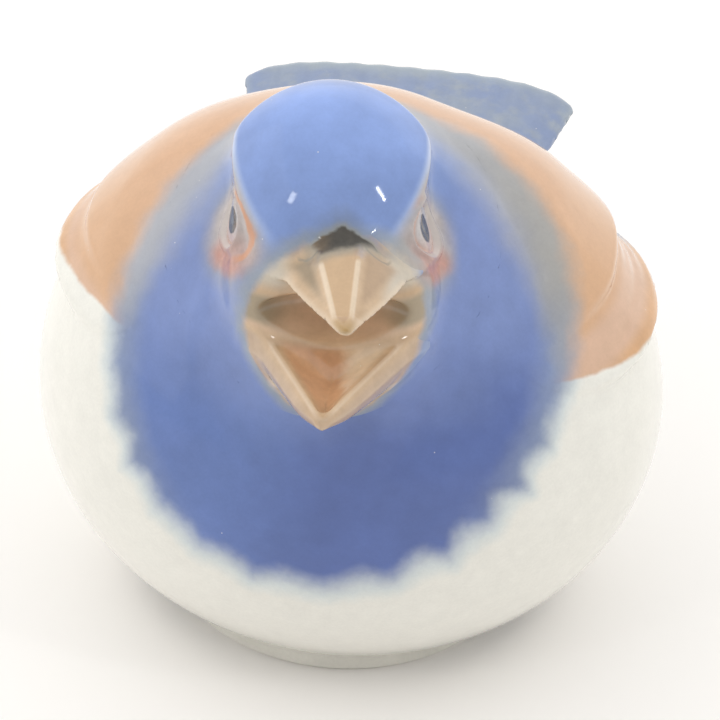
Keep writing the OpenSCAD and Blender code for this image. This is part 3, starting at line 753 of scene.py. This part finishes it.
def glazed(name, colour_of):
    """Painted porcelain under a clear glaze, with fine mottling, pinholes and faint waves."""
    n = Glaze(name)
    near, own = n.cells(1.7)
    holes = n.all_of(n.fade(near, 0.055, 0.03), n.fade(own, 0.9, 0.92))
    colour = n.vary(n.vary(colour_of(n), 0.35, 0.025), 1.6, 0.02, 5)
    colour = n.mix(n.all_of(holes, 0.7), colour, CREAM)
    roughness = n.span(n.noise(1.2, 4, 2), 0.3, 0.7, *GLAZE_ROUGHNESS)
    height = n.add(n.noise(5, 2, 3), n.times(n.noise(0.9, 3, 4), 0.06))
    n.shader.inputs["IOR"].default_value = GLAZE_IOR
    return n.finish(colour, roughness, n.less(height, n.times(holes, 0.5)), GLAZE_WAVES)


def biscuit(name, rough):
    """Unglazed porcelain: greyish white, faintly gritty, with a few rubbed marks."""
    n = Glaze(name)
    near, own = n.cells(2.6)
    marks = n.all_of(n.fade(near, 0.12, 0.04), n.fade(own, 0.75, 0.8))
    colour = n.vary(n.vary(BISCUIT, 4, 0.05, 60), 0.5, 0.03, 61)
    colour = n.mix(n.all_of(marks, 0.5), colour, RUBBED)
    roughness = n.span(n.noise(1, 4, 62), 0.3, 0.7, rough - 0.08, rough + 0.08)
    return n.finish(colour, roughness, n.noise(0.3, 4, 63), 0.02)


# ---------------------------------------------------------------- meshing


def samples(field, low, high, step, coarse=4):
    """Field values on a grid, exact only close to the skin."""
    low, n = np.array(low, float), np.ceil((np.array(high) - low) / (step * coarse)).astype(int)
    axes = [low[i] + np.arange(n[i] + 1) * step * coarse for i in range(3)]
    grid = np.stack(np.meshgrid(*axes, indexing="ij"), -1)
    rough = field(grid.reshape(-1, 3)).reshape(grid.shape[:3])
    near = np.full(n, np.inf)
    for i in (0, 1):
        for j in (0, 1):
            for k in (0, 1):
                cell = rough[i:n[0] + i, j:n[1] + j, k:n[2] + k]
                near = np.minimum(near, np.abs(cell))

    def finer(v):
        for axis in range(3):
            v = np.repeat(v, coarse, axis)
        return v

    values, band = finer(rough[:-1, :-1, :-1]), finer(near < step * coarse * 1.9)
    points = low + np.argwhere(band) * step
    values[band] = np.concatenate([field(points[i:i + 400000]) for i in range(0, len(points), 400000)])
    return values, low


def net(values, low, step):
    """One vertex in each cell that the skin crosses, and one quad for each grid edge that it crosses."""
    inside, size = values < 0, values.shape
    count = np.zeros([s - 1 for s in size], np.int8)
    cell_corners = [(i, j, k) for i in (0, 1) for j in (0, 1) for k in (0, 1)]
    for i, j, k in cell_corners:
        count += inside[i:size[0] - 1 + i, j:size[1] - 1 + j, k:size[2] - 1 + k]
    active = (count > 0) & (count < 8)
    cells = np.argwhere(active)
    index = np.full(active.shape, -1)
    index[active] = np.arange(len(cells))
    total, crossings = np.zeros((len(cells), 3)), np.zeros(len(cells))
    for corner in cell_corners:
        for axis in range(3):
            if corner[axis]:
                continue
            other = tuple(1 if i == axis else c for i, c in enumerate(corner))
            a, b = (values[tuple((cells + c).T)] for c in (corner, other))
            crosses = (a < 0) != (b < 0)
            place = np.tile(np.array(corner, float), (len(cells), 1))
            place[:, axis] += np.where(crosses, a / np.where(crosses, a - b, 1), 0)
            total[crosses] += place[crosses]
            crossings[crosses] += 1
    verts = low + (cells + total / crossings[:, None]) * step
    quads = []
    for axis in range(3):
        u, w = [(1, 2), (2, 0), (0, 1)][axis]
        first = np.take(inside, range(size[axis] - 1), axis)
        second = np.take(inside, range(1, size[axis]), axis)
        edges = np.argwhere(first != second)
        keep = (edges[:, [u, w]] > 0).all(1) & (edges[:, u] < size[u] - 1) & (edges[:, w] < size[w] - 1)
        edges = edges[keep]
        quad = []
        for du, dw in ((0, 0), (1, 0), (1, 1), (0, 1)):
            cell = edges.copy()
            cell[:, u] -= du
            cell[:, w] -= dw
            quad.append(index[tuple(cell.T)])
        quad = np.stack(quad, 1)
        outward = first[tuple(edges.T)]
        quad[~outward] = quad[~outward][:, ::-1]
        quads.append(quad)
    quads = np.concatenate(quads)
    quads = quads[(quads >= 0).all(1)]
    return verts, quads


def gradient(field, p, h=0.04):
    steps = np.eye(3) * h
    return np.stack([(field(p + d) - field(p - d)) / (2 * h) for d in steps], 1)


def settle(field, p, rounds=2, most=0.3):
    """Moves points onto the skin."""
    for _ in range(rounds):
        g = gradient(field, p)
        move = field(p)[:, None] * g / ((g * g).sum(1)[:, None] + 1e-6)
        far = norm(move)[:, None]
        p = p - move * np.minimum(far, most) / (far + 1e-9)
    return p


def triangles(verts, quads):
    a, b, c, d = (verts[quads[:, i]] for i in range(4))
    short = norm(a - c) < norm(b - d)
    one = np.where(short[:, None], quads[:, [0, 1, 2]], quads[:, [0, 1, 3]])
    two = np.where(short[:, None], quads[:, [0, 2, 3]], quads[:, [1, 2, 3]])
    return np.concatenate([one, two])


def cut(verts, tris, g, snap=0.03):
    """Splits the triangles that g = 0 crosses. Returns vertices, triangles, the triangle that each came
    from, and whether each lies where g < 0."""
    g = np.where(np.abs(g) < snap, 0, g)
    mixed = np.any(g[tris] > 0, 1) & np.any(g[tris] < 0, 1)
    t, source = tris[mixed], np.flatnonzero(mixed)
    edges = np.concatenate([t[:, [0, 1]], t[:, [1, 2]], t[:, [2, 0]]])
    crossed = edges[g[edges[:, 0]] * g[edges[:, 1]] < 0]
    pairs = np.unique(np.sort(crossed, 1), axis=0)
    ga, gb = g[pairs[:, 0]], g[pairs[:, 1]]
    new = verts[pairs[:, 0]] + (verts[pairs[:, 1]] - verts[pairs[:, 0]]) * (ga / (ga - gb))[:, None]
    keys = pairs[:, 0] * len(verts) + pairs[:, 1]

    def between(a, b):
        return len(verts) + np.searchsorted(keys, np.minimum(a, b) * len(verts) + np.maximum(a, b))

    parts, sources, sign = [tris[~mixed]], [np.flatnonzero(~mixed)], np.sign(g[t])
    for i in range(3):
        j, k = (i + 1) % 3, (i + 2) % 3
        alone = (sign[:, i] != 0) & (sign[:, j] == -sign[:, i]) & (sign[:, k] == -sign[:, i])
        a, b, c = t[alone, i], t[alone, j], t[alone, k]
        p, q = between(a, b), between(a, c)
        parts += [np.stack(corner, 1) for corner in ((a, p, q), (p, b, c), (p, c, q))]
        sources += [source[alone]] * 3
        on = sign[:, i] == 0
        a, b, c = t[on, i], t[on, j], t[on, k]
        p = between(b, c)
        parts += [np.stack(corner, 1) for corner in ((a, b, p), (a, p, c))]
        sources += [source[on]] * 2
    verts, tris = np.concatenate([verts, new]), np.concatenate(parts)
    g = np.concatenate([g, np.zeros(len(new))])
    return verts, tris, np.concatenate(sources), g[tris].sum(1) < 0


class Skin:
    """The bird's skin, or part of it, with the name of the piece that each triangle belongs to."""

    def __init__(self, low, high, step, name):
        values, low = samples(bird, low, high, step)
        verts, quads = net(values, low, step)
        self.verts = settle(bird, verts)
        self.tris = triangles(self.verts, quads)
        self.label = np.full(len(self.tris), name, dtype="U32")

    def divide(self, g, name, within):
        """The triangles of the piece `within` where g < 0 go to the piece `name`."""
        self.verts, self.tris, source, inside = cut(self.verts, self.tris, g(self.verts))
        self.label = self.label[source]
        self.label[inside & (self.label == within)] = name

    def drop(self, name):
        keep = self.label != name
        self.tris, self.label = self.tris[keep], self.label[keep]

    def part(self, name):
        tris = self.tris[self.label == name]
        used, tris = np.unique(tris, return_inverse=True)
        return self.verts[used], tris.reshape(-1, 3)


def free_edges(tris):
    edges = np.concatenate([tris[:, [0, 1]], tris[:, [1, 2]], tris[:, [2, 0]]])
    many = tris.max() + 1
    there, back = edges[:, 0] * many + edges[:, 1], edges[:, 1] * many + edges[:, 0]
    return edges[~np.isin(there, back)]


def flat_normals(verts, tris):
    a, b, c = (verts[tris[:, i]] for i in range(3))
    n = np.cross(b - a, c - a)
    return n / (norm(n)[:, None] + 1e-12)


def walled(verts, tris, wall):
    """Closes an open skin with an inner skin and a rim. Returns vertices, triangles and corner normals."""
    n = gradient(bird, verts)
    n /= norm(n)[:, None]
    many, (a, b) = len(verts), free_edges(tris).T
    rim_tris = np.concatenate([np.stack([b, a, a + many], 1), np.stack([b, a + many, b + many], 1)])
    both = np.concatenate([verts, verts - n * wall])
    rim_normals = np.repeat(flat_normals(both, rim_tris), 3, 0)
    all_tris = np.concatenate([tris, tris[:, ::-1] + many, rim_tris])
    outer, inner = n[tris].reshape(-1, 3), -n[tris[:, ::-1]].reshape(-1, 3)
    return both, all_tris, np.concatenate([outer, inner, rim_normals])


def lidded(verts, tris, centre):
    """Closes an open skin with a fan to a point inside the bird."""
    n = gradient(bird, verts)
    n /= norm(n)[:, None]
    a, b = free_edges(tris).T
    lid = np.stack([b, a, np.full(len(a), len(verts))], 1)
    verts = np.concatenate([verts, [centre]])
    lid_normals = np.repeat(flat_normals(verts, lid), 3, 0)
    return verts, np.concatenate([tris, lid]), np.concatenate([n[tris].reshape(-1, 3), lid_normals])


# ---------------------------------------------------------------- pieces


def plumage_edge(side):
    def g(p):
        t, v = wing_place(p)
        off = np.maximum(low_edge(t, side) - v, v - high_edge(t)) * 0.6
        off = np.maximum(off, np.maximum(-t, t - 1) * wing_len)
        return np.maximum(off, -side * p[:, 0])
    return g


def above_step(p):
    t, v = wing_place(p)
    return (step_edge(t) - v) * 0.6


def tail_edge(p):
    return tail(p) - plain_skin(p, to_head(p)) + relief(p)


def below_joint(p):
    return (p - joint_c) @ joint_n


def upper_edge(p):
    q = to_head(p)
    rest = np.minimum(np.maximum(plain_skin(p, q), -mouth(q)), lower_bill(q))
    return upper_bill(q) - rest


def lower_edge(p):
    q = to_head(p)
    rest = np.minimum(np.maximum(plain_skin(p, q), -mouth(q)), upper_bill(q))
    return lower_bill(q) - rest


def eye_edge(side):
    def g(p):
        q = to_head(p)
        u, v = eye_place(q)
        return np.maximum((np.hypot(u, v) - 0.97) * eye_r[0], 5 - side * q[:, 0])
    return g


def body_skin():
    skin = Skin([-41, -46, 2], [41, 57, 69], 0.6, "body")
    skin.divide(lambda p: p[:, 2] - foot_seat, "below", "body")
    skin.divide(lambda p: -below_joint(p), "above", "body")
    skin.drop("below")
    skin.drop("above")
    for side, name in ((1, "left"), (-1, "right")):
        skin.divide(plumage_edge(side), name + "_flight_feathers", "body")
    for name in ("left", "right"):
        skin.divide(above_step, name + "_wing", name + "_flight_feathers")
    skin.divide(tail_edge, "tail", "body")
    return skin


def head_skin():
    skin = Skin([-24, -57, 43], [23, 0, 78], 0.3, "head")
    skin.divide(below_joint, "below", "head")
    skin.drop("below")
    skin.divide(upper_edge, "upper_mandible", "head")
    skin.divide(lower_edge, "lower_mandible", "head")
    for side, name in ((1, "left_eye"), (-1, "right_eye")):
        skin.divide(eye_edge(side), name, "head")
    return skin


def make_piece(name, solid, material, node):
    verts, tris, corner_normals = solid
    mesh = bpy.data.meshes.new(name)
    mesh.from_pydata((verts * MM).tolist(), [], tris.tolist())
    mesh.polygons.foreach_set("use_smooth", np.ones(len(tris), bool))
    mesh.normals_split_custom_set(corner_normals.tolist())
    for key, values in paint(verts).items():
        mesh.attributes.new(key, "FLOAT", "POINT").data.foreach_set("value", values.astype(np.float32))
    mesh.materials.append(material)
    piece = bpy.data.objects.new(name, mesh)
    bpy.context.scene.collection.objects.link(piece)
    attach(piece, "root")
    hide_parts(node)


body, head = body_skin(), head_skin()
PLUMAGE, FACE = glazed("plumage_glaze", plumage), glazed("face_glaze", face)
BILL, EYE = glazed("bill_glaze", bill_and_cheek), glazed("eye_glaze", iris)
TAIL = glazed("tail_glaze", tail_paint)
PIECES = [
    ("body", body, 1.6, PLUMAGE, "belly_glaze", "body_shell"),
    ("left_wing", body, 0.9, PLUMAGE, "peach_glaze", "left_wing"),
    ("right_wing", body, 0.9, PLUMAGE, "peach_glaze", "right_wing"),
    ("left_flight_feathers", body, 0.9, PLUMAGE, "peach_glaze", "left_flight_feathers"),
    ("right_flight_feathers", body, 0.9, PLUMAGE, "peach_glaze", "right_flight_feathers"),
    ("tail", body, None, TAIL, "tail_glaze", "tail"),
    ("head", head, 1.2, FACE, "blue_glaze", "head_shell"),
    ("upper_mandible", head, None, BILL, "bill_glaze", "upper_mandible"),
    ("lower_mandible", head, None, BILL, "bill_glaze", "lower_mandible"),
    ("left_eye", head, 0.5, EYE, "eye_glaze", "left_eye"),
    ("right_eye", head, 0.5, EYE, "eye_glaze", "right_eye"),
]
centres = {
    "tail": np.array([tail_c[0], rump_end - 8, tail_c[2]]),
    "upper_mandible": np.array([head_axis[0], head_axis[1] - 7, crown - 12]),
    "lower_mandible": np.array([head_axis[0], head_axis[1] - 9, crown - 20]),
}
for name, skin, wall, material, slot, node in PIECES:
    verts, tris = skin.part(name)
    verts = settle(bird, verts, 1, 0.02)
    solid = walled(verts, tris, wall) if wall else lidded(verts, tris, centres[name])
    make_piece(name + "_glazed", solid, material, node)
for node, name, rough in (("foot_ring", "foot_biscuit", 0.5), ("base_plate", "base_biscuit", 0.65)):
    unglazed = biscuit(name, rough)
    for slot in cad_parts[node].material_slots:
        slot.material = unglazed

# ---------------------------------------------------------------- stage

TARGET = Vector((0, belly_c[1] + 1, 30.1)) * MM
DISTANCE = 0.312
LENS, SENSOR, SHIFT = 124, 36, (0.0111, 0.0097)
AZIMUTH, ELEVATION, ROLL = 7, 35, 2
FLOOR, CARD, CARD_SHADE = 3, (0.975, 0.955, 0.93), (0.965, 0.94, 0.915)


def direction(azimuth, elevation):
    """Points away from the bird. Azimuth 0 is in front of it, 90 on its left side."""
    a, e = math.radians(azimuth), math.radians(elevation)
    return Vector((math.sin(a) * math.cos(e), -math.cos(a) * math.cos(e), math.sin(e)))


def add_camera():
    back = direction(AZIMUTH, ELEVATION)
    data = bpy.data.cameras.new("camera")
    camera = bpy.data.objects.new("camera", data)
    camera.location = TARGET + back * DISTANCE
    camera.rotation_mode = "QUATERNION"
    camera.rotation_quaternion = (-back).to_track_quat("-Z", "Y") @ Quaternion((0, 0, 1), math.radians(ROLL))
    data.sensor_width, data.lens = SENSOR, LENS
    data.shift_x, data.shift_y = SHIFT
    data.clip_start = 0.01
    bpy.context.scene.collection.objects.link(camera)
    bpy.context.scene.camera = camera


def add_floor():
    """A wide pale card. The camera sees its far parts as white, and close to the bird its own shade."""
    mesh = bpy.data.meshes.new("floor")
    square = [(-FLOOR, -FLOOR, 0), (FLOOR, -FLOOR, 0), (FLOOR, FLOOR, 0), (-FLOOR, FLOOR, 0)]
    mesh.from_pydata(square, [], [(0, 1, 2, 3)])
    n = Glaze("studio_floor")
    n.put(n.mix(n.noise(40, 2), CARD, CARD_SHADE), n.shader.inputs["Base Color"])
    n.put(0.9, n.shader.inputs["Roughness"])
    n.shader.inputs["Specular IOR Level"].default_value = 0.1
    mesh.materials.append(n.material)
    floor = bpy.data.objects.new("floor", mesh)
    bpy.context.scene.collection.objects.link(floor)


def add_lamp(name, azimuth, elevation, far, size, power):
    data = bpy.data.lights.new(name, "AREA")
    data.shape = "RECTANGLE"
    data.size, data.size_y = size
    data.energy = power
    lamp = bpy.data.objects.new(name, data)
    towards = direction(azimuth, elevation)
    lamp.location = TARGET + towards * far
    lamp.rotation_euler = towards.to_track_quat("Z", "Y").to_euler()
    bpy.context.scene.collection.objects.link(lamp)


def add_world():
    """A white room for eye and reflections. Its light is stronger from above, behind and both sides."""
    world = bpy.data.worlds.new("studio")
    bpy.context.scene.world = world
    world.use_nodes = True
    nodes, links = world.node_tree.nodes, world.node_tree.links
    place = nodes.new("ShaderNodeTexCoord").outputs["Generated"]
    lean = nodes.new("ShaderNodeVectorMath")
    lean.operation = "DOT_PRODUCT"
    links.new(place, lean.inputs[0])
    lean.inputs[1].default_value = Vector((-0.22, 0.55, 0.95))
    split = nodes.new("ShaderNodeSeparateXYZ")
    links.new(place, split.inputs[0])
    aside = nodes.new("ShaderNodeMath")
    aside.operation = "ABSOLUTE"
    links.new(split.outputs["X"], aside.inputs[0])
    walls, light = nodes.new("ShaderNodeMath"), nodes.new("ShaderNodeMath")
    walls.operation = light.operation = "MULTIPLY_ADD"
    links.new(aside.outputs[0], walls.inputs[0])
    walls.inputs[1].default_value, walls.inputs[2].default_value = 0.75, 0.26
    links.new(lean.outputs["Value"], light.inputs[0])
    light.inputs[1].default_value = 0.72
    links.new(walls.outputs[0], light.inputs[2])
    path, seen = nodes.new("ShaderNodeLightPath"), 0
    for key in ("Is Camera Ray", "Is Glossy Ray", "Is Transmission Ray"):
        add = nodes.new("ShaderNodeMath")
        add.operation, add.use_clamp = "ADD", True
        if seen:
            links.new(seen, add.inputs[0])
        else:
            add.inputs[0].default_value = 0
        links.new(path.outputs[key], add.inputs[1])
        seen = add.outputs[0]
    strength = nodes.new("ShaderNodeMix")
    links.new(seen, strength.inputs[0])
    links.new(light.outputs[0], strength.inputs[2])
    strength.inputs[3].default_value = 1
    background = nodes["Background"]
    background.inputs["Color"].default_value = (1, 1, 1, 1)
    links.new(strength.outputs[0], background.inputs["Strength"])


add_camera()
add_floor()
add_lamp("window_left", -36, 42, 0.7, (0.05, 0.10), 0.12)
add_lamp("window_right", 66, 41, 0.7, (0.03, 0.14), 0.3)
add_lamp("softbox_left", -85, 30, 1.1, (1.5, 1.0), 1.2)
add_lamp("softbox_back", 165, 24, 1.2, (1.6, 0.5), 0.5)
add_world()
bpy.context.scene.view_settings.view_transform = "Standard"
